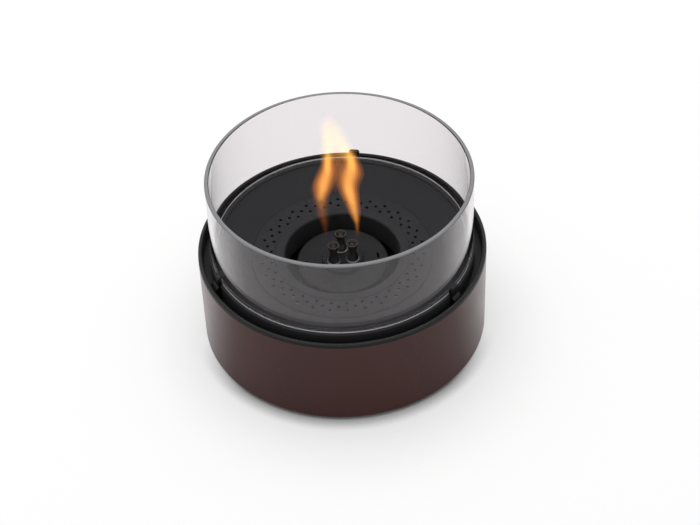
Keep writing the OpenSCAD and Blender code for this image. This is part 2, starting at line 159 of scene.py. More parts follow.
class FireBowlSizes(PropertyGroup):
    """Sizes of the sheet, the edges and the pressed steps."""

    shell_wall: length("Shell wall", "Thickness of the lacquered shell", 1.5 * MM)
    shell_flange: length("Shell flange", "Width of the flange under the shell", 18 * MM)
    shell_top_edge: length("Shell top edge", "Rounding of the shell's top edge", 0.5 * MM)
    shell_bottom_edge: length("Shell bottom edge", "Rounding of the shell's bottom edge", 1.5 * MM)
    sheet: length("Sheet", "Thickness of the pan's and the tray's sheet steel", 1.2 * MM)
    sheet_edge: length("Sheet edge", "Rounding of a bend or a cut edge of the sheet", 0.4 * MM)
    rim_width: length("Rim width", "Width of the pan's rolled rim", 2.9 * MM)
    shelf_drop: length("Shelf drop", "Drop from the shell's top to the pan's shelf", 8 * MM)
    shelf_width: length("Shelf width", "Width of the pan's shelf", 11 * MM)
    pan_bend: length("Pan bend", "Rounding of the pan's bends", 2 * MM)
    ledge_width: length("Ledge width", "Width of the tray's ledge under the glass", 7 * MM)
    ledge_step: length("Ledge step", "Drop of the step inside the ledge", 1 * MM)
    dish_depth: length("Dish depth", "Depth of the tray's dish below its ledge", 11 * MM)
    ring_outer: length("Ring", "Outer radius of the tray's flat ring", 63.3 * MM)
    collar_outer: length("Collar", "Outer radius of the raised collar", 47.4 * MM)
    collar_rise: length("Collar rise", "Height of the raised collar", 0.6 * MM)
    ring_step: length("Ring step", "Step down at the outer edge of the flat ring", 0.8 * MM)
    tray_hole: length("Tray hole", "Radius of the tray's centre hole", 40 * MM)
    lip_edge: length("Lip edge", "Rounding of the lip round the centre hole", 1.6 * MM)
    air_hole: length("Air hole", "Diameter of an air hole", 2.2 * MM)
    air_row_start: length("First row", "Radius of the first row of air holes", 49.7 * MM)
    air_row_step: length("Row step", "Distance between rows of air holes", 3.35 * MM)
    glass_wall: length("Glass wall", "Thickness of the glass", 3 * MM)
    glass_edge: length("Glass edge", "Rounding of the ground glass edges", 1 * MM)
    glass_foot: length("Glass foot", "Rounding of the glass's outer foot", 0.4 * MM)
    glass_line: length("Glass line", "Height of the ground line round the glass's foot", 1.2 * MM)
    can_sheet: length("Can sheet", "Thickness of the fuel can's sheet", 0.9 * MM)
    can_edge: length("Can edge", "Rounding of the can's and the lid's edge", 1.5 * MM)
    plug_overlap: length("Plug overlap", "How far the plug's flange covers the lid", 2.2 * MM)
    nozzle_stem: length("Nozzle stem", "Diameter of a nozzle's stem in the plug", 4.2 * MM)
    nozzle_neck: length("Nozzle neck", "Diameter of a nozzle's neck", 5.4 * MM)
    nozzle_mouth: length("Nozzle mouth", "Diameter of a nozzle's mouth", 8 * MM)
    wick: length("Wick", "Diameter of a wick", 2.8 * MM)
    clip_width: length("Clip width", "Width of a glass clip", 8 * MM)
    clip_corner: length("Clip corner", "Rounding of a clip's upper corners", 2 * MM)


class FireBowlCounts(PropertyGroup):
    """Numbers of holes, and the turns of patterns."""

    air_holes: IntProperty(name="Air holes", description="Air holes in each row", default=30, min=1)
    air_rows: IntProperty(name="Rows", description="Rows of air holes", default=3, min=1)
    air_turn: FloatProperty(name="Hole turn", description="Angle of the first air hole",
                            default=math.radians(8), subtype="ANGLE", unit="ROTATION")
    slot_turn: FloatProperty(name="Slot turn", description="Angle of the first lifting slot",
                             default=math.radians(7), subtype="ANGLE", unit="ROTATION")


class FireBowlColours(PropertyGroup):
    """Colours of the finishes, as they look."""

    lacquer_dark: colour("Lacquer, dark", "Brown lacquer where it is deepest", "#3a1714")
    lacquer_light: colour("Lacquer, light", "Brown lacquer where it is thinnest", "#4c1e19")
    enamel: colour("Enamel", "Black enamel of the liner pan", "#29292a")
    powder: colour("Powder coat", "Black powder coat of the burner tray", "#2a2a2c")
    powder_fleck: colour("Powder fleck", "Paler grains in the powder coat", "#333335")
    clip: colour("Clip", "Black paint of the glass clips", "#101011")
    can: colour("Can", "Heat-proof paint of the can, lid and plug", "#1b1b1d")
    can_worn: colour("Can, worn", "Heat-proof paint where it is burnished", "#222224")
    nozzle: colour("Nozzle", "Turned steel of the nozzles", "#7c7c7d")
    nozzle_burnt: colour("Nozzle, burnt", "Heat-browned steel at the mouths", "#4c4745")
    zinc: colour("Zinc", "Zinc plate of the screws and sheet", "#94979a")
    zinc_dull: colour("Zinc, dull", "Zinc plate where it has dulled", "#72767a")
    board: colour("Board", "Insulating board", "#d6d0c1")
    board_fleck: colour("Board fleck", "Darker fibres in the board", "#b5ac98")
    rubber: colour("Rubber", "Foot pads and gasket", "#1c1c1d")
    wick: colour("Wick", "Clean glass-fibre braid", "#d9d3c4")
    wick_char: colour("Wick, charred", "Braid at the burnt end", "#2c2521")
    # The glass tint is a faint lavender with a grey that is painted shade on what shows through the glass
    glass: colour("Glass", "Tint of the glass and its grey of painted shade", "#f3eff1")
    glass_body: colour("Glass, deep", "Tint of the glass seen along its wall", "#dcd8da")
    glass_ground: colour("Glass, ground", "Frosted grey of the ground top edge", "#88888a")
    # Pure white for the foot line is a painted highlight, beside the grey of the same ground glass at the
    # top; the wall also carries some light to it
    glass_foot: colour("Glass, foot", "Pale line of the ground foot, lit through the wall", "#ffffff")
    flame: colour("Flame", "Light of the flames' soft outside", "#ff9236")
    flame_core: colour("Flame, core", "Light of the bright streaks inside", "#ffbe60")
    flame_tip: colour("Flame, tip", "Light of the pale upper flames", "#ffcf48")
    floor: colour("Floor", "Studio floor", "#c8c8c8")


def sizes():
    """The sizes that the pieces are made from."""
    return bpy.context.scene.fire_bowl_sizes


def counts():
    """The numbers and turns that the pieces are made from."""
    return bpy.context.scene.fire_bowl_counts


def colours():
    """The colours that the materials are made from."""
    return bpy.context.scene.fire_bowl_colours


# Outlines

def rounded(corners):
    """Closed outline of radius and height, with an arc at each corner (radius, height, rounding).

    A point just past each end of an arc keeps the smooth shading of the straight stretch true.
    """
    outline = []
    for i, (r, z, rounding) in enumerate(corners):
        here = Vector((r, z))
        if rounding == 0:
            outline.append(here)
            continue
        before = Vector(corners[i - 1][:2]) - here
        after = Vector(corners[(i + 1) % len(corners)][:2]) - here
        half = before.angle(after) / 2
        back = min(rounding / math.tan(half), before.length / 2, after.length / 2)
        radius = back * math.tan(half)
        centre = here + (before.normalized() + after.normalized()).normalized() * radius / math.sin(half)
        start = here + before.normalized() * back - centre
        sweep = start.angle_signed(here + after.normalized() * back - centre)
        if back + HOLD < before.length / 2:
            outline.append(here + before.normalized() * (back + HOLD))
        for k in range(EDGE_STEPS + 1):
            outline.append(centre + Matrix.Rotation(-sweep * k / EDGE_STEPS, 2) @ start)
        if back + HOLD < after.length / 2:
            outline.append(here + after.normalized() * (back + HOLD))
    return outline


def bell(low, high, steps=12):
    """Smooth curve from one point of an outline to another, upright at both ends."""
    points = []
    for k in range(steps + 1):
        t = k / steps
        swing = (1 - math.cos(math.pi * t)) / 2
        points.append(Vector((low[0] + (high[0] - low[0]) * swing, low[1] + (high[1] - low[1]) * t)))
    return points


def flat_band(outline, height, radius):
    """Index of the level stretch of an outline at this height that passes this radius."""
    for i, here in enumerate(outline):
        there = outline[(i + 1) % len(outline)]
        level = abs(here.y - height) < TINY and abs(there.y - height) < TINY
        if level and min(here.x, there.x) < radius < max(here.x, there.x):
            return i
    raise ValueError(f"no level stretch at height {height} and radius {radius}")


def smooth_between(before, here, there, after, t):
    """Point on a smooth curve that passes through here and there."""
    return 0.5 * (
        2 * here + (there - before) * t + (2 * before - 5 * here + 4 * there - after) * t ** 2
        + (3 * here - before - 3 * there + after) * t ** 3)


def turns(steps):
    """Angles of a full turn in even steps."""
    return [2 * math.pi * k / steps for k in range(steps)]


def spot(radius, turn):
    """Point at this radius and angle, seen from above."""
    return radius * Vector((math.cos(turn), math.sin(turn)))


def round_hole(centre, radius):
    """Points of a round hole, seen from above."""
    return [centre + spot(radius, turn) for turn in turns(HOLE_STEPS)]


# Meshes

def lathe(bm, outline, steps=TURN_STEPS, open_bands=()):
    """Turns an outline round the Z axis. Returns a loop of vertices for each point of the outline."""
    loops = []
    for r, z in outline:
        if r < TINY:
            loops.append([bm.verts.new((0, 0, z))] * steps)
        else:
            loops.append([bm.verts.new((r * math.cos(a), r * math.sin(a), z)) for a in turns(steps)])
    for i, loop in enumerate(loops):
        if i in open_bands:
            continue
        following = loops[(i + 1) % len(loops)]
        for k in range(steps):
            n = (k + 1) % steps
            corners = dict.fromkeys((loop[k], loop[n], following[n], following[k]))
            if len(corners) > 2:
                bm.faces.new(corners)
    return loops


def turned(outline, steps=TURN_STEPS):
    """Mesh of an outline turned round the Z axis."""
    bm = bmesh.new()
    lathe(bm, outline, steps)
    return bm


def bridge(bm, loops):
    """Faces between each loop of vertices and the next."""
    for here, there in zip(loops, loops[1:]):
        for k in range(len(here)):
            n = (k + 1) % len(here)
            bm.faces.new((here[k], here[n], there[n], there[k]))


def loft(bm, loops):
    """Closed form through loops of vertices."""
    bridge(bm, loops)
    bm.faces.new(loops[0])
    bm.faces.new(loops[-1])


def loop_edges(bm, loop):
    """Edges round a loop of vertices, made where they are missing."""
    pairs = zip(loop, loop[1:] + loop[:1])
    return [bm.edges.get(pair) or bm.edges.new(pair) for pair in pairs]


def punched(outline, levels, radius, holes):
    """Mesh of an outline turned round the Z axis, with holes through its sheet.

    The levels are the upper and the lower face of the sheet at this radius. The holes are rings of
    points, seen from above.
    """
    bands = [flat_band(outline, level, radius) for level in levels]
    bm = bmesh.new()
    loops = lathe(bm, outline, open_bands=bands)
    upper, lower = [loops[band][0].co.z for band in bands]
    rims = [[], []]
    for hole in holes:
        centre = sum(hole, Vector((0, 0))) / len(hole)
        spread = [p + (p - centre).normalized() * HOLE_EDGE for p in hole]
        wall = (spread, upper), (hole, upper - HOLE_EDGE), (hole, lower + HOLE_EDGE), (spread, lower)
        rings = [[bm.verts.new((*p, z)) for p in points] for points, z in wall]
        bridge(bm, rings)
        rims[0].append(rings[0])
        rims[1].append(rings[-1])
    for band, hole_rims in zip(bands, rims):
        edges = []
        for loop in (loops[band], loops[(band + 1) % len(loops)], *hole_rims):
            edges += loop_edges(bm, loop)
        bmesh.ops.triangle_fill(bm, use_beauty=True, edges=edges)
    return bm


def stand_at(bm, name):
    """Moves a mesh from the axis to where a CAD node stands."""
    place = middle(name)
    bmesh.ops.translate(bm, verts=bm.verts, vec=(place.x, place.y, 0))


# Objects

def to_object(name, data):
    """Puts a new object into the scene."""
    obj = bpy.data.objects.new(name, data)
    bpy.context.collection.objects.link(obj)
    return obj


def to_mesh(name, bm, material):
    """Turns a built mesh into Blender's own, with its finish."""
    mesh = bpy.data.meshes.new(name)
    bm.to_mesh(mesh)
    bm.free()
    mesh.materials.append(material)
    return mesh


def to_piece(name, bm, material, body, slot, *nodes):
    """Makes an object of a mesh, gives it its finish, and lets it ride in the place of CAD nodes."""
    bmesh.ops.recalc_face_normals(bm, faces=bm.faces)
    mesh = to_mesh(name, bm, material)
    mesh.shade_smooth()
    mesh.set_sharp_from_angle(angle=CREASE)
    obj = to_object(name, mesh)
    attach(obj, body)
    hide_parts(*nodes)
    return obj


def soften(obj, width, segments):
    """Rounds the sharp edges of an object."""
    bevel = obj.modifiers.new("soften", "BEVEL")
    bevel.width = width
    bevel.segments = segments
    bevel.angle_limit = CREASE
    return bevel


def dress_node(name, material, edge):
    """Gives a CAD node its finish, smooth shading and softened edges, without touching its shape."""
    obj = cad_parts[name]
    for place in obj.material_slots:
        place.material = material
    weld = obj.modifiers.new("weld", "WELD")
    weld.merge_threshold = TINY * 10
    flatten = obj.modifiers.new("flatten", "DECIMATE")
    flatten.decimate_type = "DISSOLVE"
    flatten.angle_limit = FLAT
    soften(obj, edge, 2).harden_normals = True


# Materials

def per_mm(size):
    """Texture scale at which a pattern's cells are about this many millimetres wide."""
    return 1 / (size * MM)


def adder(tree):
    """A function that adds a node to this tree, with values or links for its inputs, and its settings."""
    def add(kind, inputs=None, **settings):
        node = tree.nodes.new(kind)
        for key, value in settings.items():
            setattr(node, key, value)
        for key, value in (inputs or {}).items():
            if isinstance(value, bpy.types.NodeSocket):
                tree.links.new(value, node.inputs[key])
            else:
                node.inputs[key].default_value = value
        return node
    return add


def new_finish(name):
    """An empty material, and a function that adds a node to it."""
    material = bpy.data.materials.new(name)
    material.use_nodes = True
    material.node_tree.nodes.clear()
    return material, adder(material.node_tree)


def grained(name, tones, sheen, grains, relief=None, looks=None, warp=0.0):
    """A finish with fine patterns in its tone, its sheen and its relief.

    Each grain has the size of its cells in millimetres, its detail and what it changes. The tone runs
    from one colour to another, and the sheen from one roughness to another. The relief has a strength
    and a depth in millimetres.
    """
    material, add = new_finish(name)
    place = add("ShaderNodeTexCoord").outputs["Object"]
    noise = {}
    for size, detail, *uses in grains:
        cells = add("ShaderNodeTexNoise", {
            "Vector": place, "Scale": per_mm(size), "Detail": detail, "Distortion": warp})
        noise.update(dict.fromkeys(uses, cells.outputs["Fac"]))
    rough = add("ShaderNodeMapRange", {"Value": noise["sheen"], "To Min": sheen[0], "To Max": sheen[1]})
    inputs = {"Base Color": tones[0], "Roughness": rough.outputs["Result"], **(looks or {})}
    if "tone" in noise:
        tone = add("ShaderNodeMix", {"Factor": noise["tone"], "A": tones[0], "B": tones[1]}, data_type="RGBA")
        inputs["Base Color"] = tone.outputs["Result"]
    if "relief" in noise:
        bump = add("ShaderNodeBump", {
            "Height": noise["relief"], "Strength": relief[0], "Distance": relief[1] * MM})
        inputs["Normal"] = bump.outputs["Normal"]
    shader = add("ShaderNodeBsdfPrincipled", inputs)
    add("ShaderNodeOutputMaterial", {"Surface": shader.outputs[0]})
    return material


def satin_lacquer():
    """Brown lacquer, sprayed on spun steel and flatted.

    It gives a deep red-brown with slow cloudy changes, a satin sheen and a faint orange peel.
    """
    paint = colours()
    return grained(
        "satin brown lacquer on steel", (paint.lacquer_dark, paint.lacquer_light), (0.2, 0.3),
        [(45, 3.0, "tone"), (14, 4.0, "sheen"), (2.2, 1.0, "relief")], (0.12, 0.05),
        {"Specular IOR Level": 0.52})


def black_enamel():
    """Black stove enamel on pressed steel.

    It gives a deep black with a soft gloss, which varies a little where hands have wiped it.
    """
    return grained(
        "black stove enamel on steel", (colours().enamel,), (0.34, 0.5),
        [(18, 4.0, "sheen"), (1.8, 1.0, "relief")], (0.1, 0.04), {"Specular IOR Level": 0.14})


def powder_coat():
    """Black powder coat, baked on the pressed tray.

    It gives a dry, even charcoal with a fine grain, drawn at about half a millimetre so that it shows.
    """
    paint = colours()
    return grained(
        "black powder coat on steel", (paint.powder, paint.powder_fleck), (0.55, 0.7),
        [(0.6, 2.0, "tone", "relief"), (22, 3.0, "sheen")], (0.25, 0.05), {"Specular IOR Level": 0.1})


def clip_paint():
    """Satin black paint on folded steel.

    It gives the darkest black of the object, with a soft light along the rounded edges.
    """
    return grained(
        "satin black paint on folded steel", (colours().clip,), (0.3, 0.45),
        [(3, 3.0, "sheen", "relief")], (0.1, 0.05), {"Specular IOR Level": 0.25})


def heatproof_paint():
    """Black heat-proof paint on drawn tinplate.

    It gives a dark grey satin, a little paler where lifting it out has burnished the paint.
    """
    paint = colours()
    return grained(
        "heat-proof black paint on tinplate", (paint.can, paint.can_worn), (0.58, 0.45),
        [(9, 4.0, "tone", "sheen"), (0.8, 1.0, "relief")], (0.12, 0.04), {"Specular IOR Level": 0.1})


def zinc_plate():
    """Bright zinc plate on steel.

    It gives a cool grey metal with small dull patches.
    """
    paint = colours()
    return grained(
        "zinc-plated steel", (paint.zinc, paint.zinc_dull), (0.28, 0.5),
        [(4, 4.0, "tone", "sheen")], looks={"Metallic": 1.0})


def fibre_board():
    """Pressed mineral-fibre board.

    It gives a chalky cream with fine darker fibres.
    """
    paint = colours()
    return grained(
        "mineral-fibre board", (paint.board, paint.board_fleck), (0.8, 0.95),
        [(1.2, 5.0, "tone", "sheen", "relief")], (0.3, 0.1), warp=1.5)


def moulded_rubber():
    """Moulded black rubber.

    It gives a dull dark grey with the fine grain of the mould, drawn at half a millimetre so that it
    shows.
    """
    return grained(
        "moulded black rubber", (colours().rubber,), (0.65, 0.85),
        [(0.5, 2.0, "sheen", "relief")], (0.2, 0.05), {"Specular IOR Level": 0.3})


def ground_glass(name, tone, carry):
    """Glass where an edge is ground and rounded.

    It gives an even frosted tone: grey in the pale band at the top, and white in the thin bright line at the
    foot, where the white is a painted highlight and the wall also carries some light to it. Its fine grain is
    drawn at 0.4 mm so that it shows.
    """
    return grained(name, (tone,), (0.55, 0.75), [(0.4, 2.0, "sheen")], looks={
        "Specular IOR Level": 0.2, "Subsurface Weight": carry, "Subsurface Radius": (1, 1, 1),
        "Subsurface Scale": 3 * MM})


def turned_steel():
    """Turned steel that the flame has browned.

    It gives grey metal with bright rounded edges, brown, dull mouths and fine turning rings, which are
    drawn nearly half a millimetre apart so that they show.
    """
    paint = colours()
    ring_gap, brown_start = 0.45, 0.75
    material, add = new_finish("heat-browned turned steel")
    place = add("ShaderNodeTexCoord").outputs["Object"]
    split = add("ShaderNodeSeparateXYZ", {"Vector": place})
    foot, mouth = bottom("wick_nozzle_1"), top("wick_nozzle_1")
    heat = add("ShaderNodeMapRange", {
        "Value": split.outputs["Z"], "From Min": foot + brown_start * (mouth - foot), "From Max": mouth,
    }, interpolation_type="SMOOTHSTEP")
    tone = add("ShaderNodeMix", {
        "Factor": heat.outputs["Result"], "A": paint.nozzle, "B": paint.nozzle_burnt}, data_type="RGBA")
    dull = add("ShaderNodeMapRange", {"Value": heat.outputs["Result"], "To Min": 0.3, "To Max": 0.6})
    rings = add("ShaderNodeTexWave", {
        "Vector": place, "Scale": per_mm(ring_gap) / (2 * math.pi), "Distortion": 0.4,
    }, bands_direction="Z", wave_profile="SIN")
    bump = add("ShaderNodeBump", {
        "Height": rings.outputs["Fac"], "Strength": 0.15, "Distance": 0.03 * MM})
    shader = add("ShaderNodeBsdfPrincipled", {
        "Base Color": tone.outputs["Result"], "Metallic": 1.0, "Roughness": dull.outputs["Result"],
        "Normal": bump.outputs["Normal"]})
    add("ShaderNodeOutputMaterial", {"Surface": shader.outputs[0]})
    return material


def fibre_braid():
    """Braided glass fibre, charred at its burning end.

    It gives cream strands that turn brown-black at the top, with fine threads, which are drawn about a
    third of a millimetre wide so that they show.
    """
    paint = colours()
    thread_width, ragged, charred = 0.35, 2 * MM, 4 * MM
    material, add = new_finish("charred glass-fibre braid")
    place = add("ShaderNodeTexCoord").outputs["Object"]
    split = add("ShaderNodeSeparateXYZ", {"Vector": place})
    thread = add("ShaderNodeTexNoise", {"Vector": place, "Scale": per_mm(thread_width), "Detail": 3.0})
    edge = add("ShaderNodeMath", {
        0: thread.outputs["Fac"], 1: ragged, 2: split.outputs["Z"]}, operation="MULTIPLY_ADD")
    end = top("wick_1")
    char = add("ShaderNodeMapRange", {
        "Value": edge.outputs["Value"], "From Min": end - charred, "From Max": end,
    }, interpolation_type="SMOOTHSTEP")
    tone = add("ShaderNodeMix", {
        "Factor": char.outputs["Result"], "A": paint.wick, "B": paint.wick_char}, data_type="RGBA")
    bump = add("ShaderNodeBump", {
        "Height": thread.outputs["Fac"], "Strength": 0.3, "Distance": 0.05 * MM})
    shader = add("ShaderNodeBsdfPrincipled", {
        "Base Color": tone.outputs["Result"], "Roughness": 0.85, "Normal": bump.outputs["Normal"]})
    add("ShaderNodeOutputMaterial", {"Surface": shader.outputs[0]})
    return material


def clear_glass():
    """Drawn borosilicate tube.

    It gives clear walls with a faint lavender grey, part of which is painted shade on what shows through
    them, and bright reflections. Lamps shine through it.
    """
    tint = colours()
    material, add = new_finish("clear borosilicate glass")
    # The base colour's grey is painted shade on what shows through the glass
    shader = add("ShaderNodeBsdfPrincipled", {
        "Base Color": tint.glass, "Roughness": 0.0, "IOR": 1.47, "Transmission Weight": 1.0})
    clear = add("ShaderNodeBsdfTransparent")
    path = add("ShaderNodeLightPath")
    mix = add("ShaderNodeMixShader", {
        "Fac": path.outputs["Is Shadow Ray"], 1: shader.outputs[0], 2: clear.outputs[0]})
    body = add("ShaderNodeVolumeAbsorption", {"Color": tint.glass_body, "Density": 20.0})
    add("ShaderNodeOutputMaterial", {"Surface": mix.outputs[0], "Volume": body.outputs[0]})
    return material


def in_sight(add, *rays):
    """Value that is 1 for these kinds of rays until they scatter, and 0 for light."""
    path = add("ShaderNodeLightPath").outputs
    shown = path[rays[0]]
    for ray in rays[1:]:
        shown = add("ShaderNodeMath", {0: shown, 1: path[ray]}, operation="MAXIMUM").outputs[0]
    sharp = add("ShaderNodeMath", {0: path["Diffuse Depth"], 1: 0.5}, operation="LESS_THAN")
    both = add("ShaderNodeMath", {0: shown, 1: sharp.outputs[0]}, operation="MULTIPLY")
    return both.outputs[0]


def studio_floor():
    """Matt white paper.

    It gives plain white away from the object's shadow and far off. Close in front of the base it carries a
    painted shadow, as if the base hid the lamp behind it. In mirrors its glow is painted dimmer towards the
    front, away from the lamp.
    """
    material, add = new_finish("matt white paper")
    place = add("ShaderNodeTexCoord").outputs["Object"]
    split = add("ShaderNodeSeparateXYZ", {"Vector": place})
    # Painted shadow: nearness of geometry times a ramp towards the front takes from the paper's glow
    room = add("ShaderNodeAmbientOcclusion", {"Distance": SHADE_REACH}, samples=SHADE_SAMPLES)
    hidden = add("ShaderNodeMapRange", {
        "Value": room.outputs["AO"], "From Min": SHADE_FULL, "To Min": 1.0, "To Max": 0.0})
    front = add("ShaderNodeMapRange", {
        "Value": split.outputs["Y"], "From Min": SHADE_FRONT, "From Max": SHADE_SIDE,
        "To Min": FLOOR_LIFT, "To Max": 0.0})
    shade = add("ShaderNodeMath", {
        0: hidden.outputs["Result"], 1: front.outputs["Result"]}, operation="MULTIPLY")
    away = add("ShaderNodeVectorMath", {0: place}, operation="LENGTH")
    white = add("ShaderNodeMapRange", {
        "Value": away.outputs["Value"], "From Min": WHITE_START, "From Max": WHITE_END,
        "To Min": FLOOR_LIFT, "To Max": FAR_LIFT})
    left = add("ShaderNodeMath", {0: white.outputs["Result"], 1: shade.outputs[0]}, operation="SUBTRACT")
    shown = in_sight(add, "Is Camera Ray", "Is Transmission Ray")
    lift = add("ShaderNodeMath", {0: shown, 1: left.outputs[0]}, operation="MULTIPLY")
    # Painted reflection: the glow that mirrors see is dimmer towards the front
    back = add("ShaderNodeMapRange", {
        "Value": split.outputs["Y"], "From Min": FLOOR_DIM, "From Max": 0.0, "To Max": FLOOR_LIFT})
    mirrored = add("ShaderNodeMath", {
        0: in_sight(add, "Is Glossy Ray"), 1: back.outputs["Result"]}, operation="MULTIPLY")
    glow = add("ShaderNodeMath", {0: lift.outputs[0], 1: mirrored.outputs[0]}, operation="MAXIMUM")
    shader = add("ShaderNodeBsdfPrincipled", {
        "Base Color": colours().floor, "Roughness": 0.9, "Specular IOR Level": 0.0,
        "Emission Color": (1, 1, 1, 1), "Emission Strength": glow.outputs[0]})
    add("ShaderNodeOutputMaterial", {"Surface": shader.outputs[0]})
    return material


def flame_light(name, tone, light, soot):
    """Burning vapour, which adds its light to what shows through it: orange on black and cream on white."""
    material, add = new_finish(name)
    glow = add("ShaderNodeEmission", {"Color": tone, "Strength": light})
    haze = add("ShaderNodeVolumeAbsorption", {"Color": (0, 0, 0, 1), "Density": soot})
    both = add("ShaderNodeAddShader", {0: glow.outputs[0], 1: haze.outputs[0]})
    add("ShaderNodeOutputMaterial", {"Volume": both.outputs[0]})
    return material


# Pieces

class FIREBOWL_OT_base_shell(Operator):
    """Round lacquered shell with a flange under it"""

    bl_idname = "fire_bowl.base_shell"
    bl_label = "Base shell"

    # Screws through the flange, and the radius of their holes
    SCREWS, SCREW_HOLE = 4, 1.6 * MM

    def execute(self, context):
        s = sizes()
        outer, low, high = extent("base_shell")
        inner = outer - s.shell_wall
        flange_in = inner - s.shell_flange
        flange_top = bottom("base_plate")
        outline = rounded([
            (flange_in, low, s.sheet_edge), (outer, low, s.shell_bottom_edge),
            (outer, high, s.shell_top_edge), (inner, high, s.sheet_edge),
            (inner, flange_top, s.sheet_edge), (flange_in, flange_top, s.sheet_edge),
        ])
        hole_ring = flange_in + s.shell_flange / 2
        holes = [round_hole(spot(hole_ring, turn), self.SCREW_HOLE) for turn in turns(self.SCREWS)]
        bm = punched(outline, (flange_top, low), hole_ring, holes)
        to_piece("base_shell_spun", bm, satin_lacquer(), "base", "shell_lacquer", "base_shell")
        return {"FINISHED"}


class FIREBOWL_OT_liner_pan(Operator):
    """Pressed pan with a rolled rim, a shelf for the tray and a deep well"""

    bl_idname = "fire_bowl.liner_pan"
    bl_label = "Liner pan"

    def execute(self, context):
        s = sizes()
        rim_out, low, high = extent("liner_pan")
        rim_low = top("base_shell")
        wall_in = rim_out - s.rim_width
        wall_out = wall_in + s.sheet
        well_in = wall_in - s.shelf_width
        well_out = well_in + s.sheet
        shelf = rim_low - s.shelf_drop
        floor = low + s.sheet
        roll = s.rim_width / 2
        outline = rounded([
            (0, low, 0), (well_out, low, s.pan_bend + s.sheet), (well_out, shelf - s.sheet, s.sheet_edge),
            (wall_out, shelf - s.sheet, s.sheet), (wall_out, rim_low, s.sheet_edge),
            (rim_out, rim_low, s.sheet_edge), (rim_out, high, roll), (wall_in, high, roll),
            (wall_in, shelf, s.sheet_edge), (well_in, shelf, s.pan_bend), (well_in, floor, s.pan_bend),
            (0, floor, 0),
        ])
        bm = turned(outline)
        to_piece("liner_pan_pressed", bm, black_enamel(), "base", "pan_enamel", "liner_pan")
        return {"FINISHED"}


class FIREBOWL_OT_base_fittings(Operator):
    """Plate, can seat, screws, nuts and board inside the base"""

    bl_idname = "fire_bowl.base_fittings"
    bl_label = "Base fittings"

    def execute(self, context):
        zinc = zinc_plate()
        for name in ("base_plate", "can_seat_ring", "base_screws", "pan_screws", "pan_nuts"):
            dress_node(name, zinc, FITTING_EDGE)
        dress_node("insulation_disc", fibre_board(), BOARD_EDGE)
        return {"FINISHED"}


class FIREBOWL_OT_foot_pads(Operator):
    """Rubber pads under the base, each with two grip grooves"""

    bl_idname = "fire_bowl.foot_pads"
    bl_label = "Foot pads"

    # Depth of a grip groove, and where the grooves begin as shares of the pad's radius
    GROOVE, GROOVE_STARTS = 0.4 * MM, (0.35, 0.65)
    # Rounding of the lower and of the upper edge
    LOWER_EDGE, UPPER_EDGE = 0.6 * MM, 0.2 * MM

    def execute(self, context):
        rubber = moulded_rubber()
        for name in numbered("foot_pad"):
            radius, height = half_width(name), top(name)
            edge = self.GROOVE / 4
            underside = []
            for share in self.GROOVE_STARTS:
                inner = radius * share
                outer = inner + 2 * self.GROOVE
                underside += [(inner, 0, edge), (inner, self.GROOVE, edge)]
                underside += [(outer, self.GROOVE, edge), (outer, 0, edge)]
            outline = rounded([
                (0, 0, 0), *underside, (radius, 0, self.LOWER_EDGE), (radius, height, self.UPPER_EDGE),
                (0, height, 0),
            ])
            bm = turned(outline, SMALL_TURN_STEPS)
            stand_at(bm, name)
            to_piece(name + "_moulded", bm, rubber, "base", "pad_rubber", name)
        return {"FINISHED"}


class FIREBOWL_OT_burner_tray(Operator):
    """Pressed dish with a glass ledge, a skirt, rows of air holes and a lipped centre hole"""

    bl_idname = "fire_bowl.burner_tray"
    bl_label = "Burner tray"

    def execute(self, context):
        s, n = sizes(), counts()
        skirt, low, high = extent("burner_tray")
        skirt_low = top("base_shell") - s.shelf_drop
        ledge_in = skirt - s.ledge_width
        step_in = ledge_in + s.ledge_step / 2
        ring = high - s.dish_depth
        collar_top = ring + s.collar_rise
        under = s.sheet
        bend = s.sheet_edge
        outline = rounded([
            (s.tray_hole, low, bend), (s.tray_hole, collar_top, s.lip_edge),
            (s.collar_outer - s.collar_rise, collar_top, bend), (s.collar_outer, ring, bend),
            (s.ring_outer - s.ring_step, ring, bend / 2), (s.ring_outer, ring - s.ring_step, bend / 2),
            (ledge_in, high - s.ledge_step, bend), (step_in, high, bend),
            (skirt, high, s.sheet), (skirt, skirt_low, bend), (skirt - under, skirt_low, bend),
            (skirt - under, high - under, bend), (step_in, high - under, bend),
            (ledge_in, high - s.ledge_step - under, bend),
            (s.ring_outer, ring - s.ring_step - under, bend / 2),
            (s.ring_outer - s.ring_step, ring - under, bend / 2),
            (s.tray_hole + under, ring - under, bend), (s.tray_hole + under, low, bend),
        ])
        holes = []
        for row in range(n.air_rows):
            radius = s.air_row_start + row * s.air_row_step
            for k in range(n.air_holes):
                turn = n.air_turn + (k + (row % 2) / 2) * 2 * math.pi / n.air_holes
                holes.append(round_hole(spot(radius, turn), s.air_hole / 2))
        bm = punched(outline, (ring, ring - under), s.air_row_start, holes)
        to_piece("burner_tray_pressed", bm, powder_coat(), "tray", "tray_powder_coat", "burner_tray")
        return {"FINISHED"}


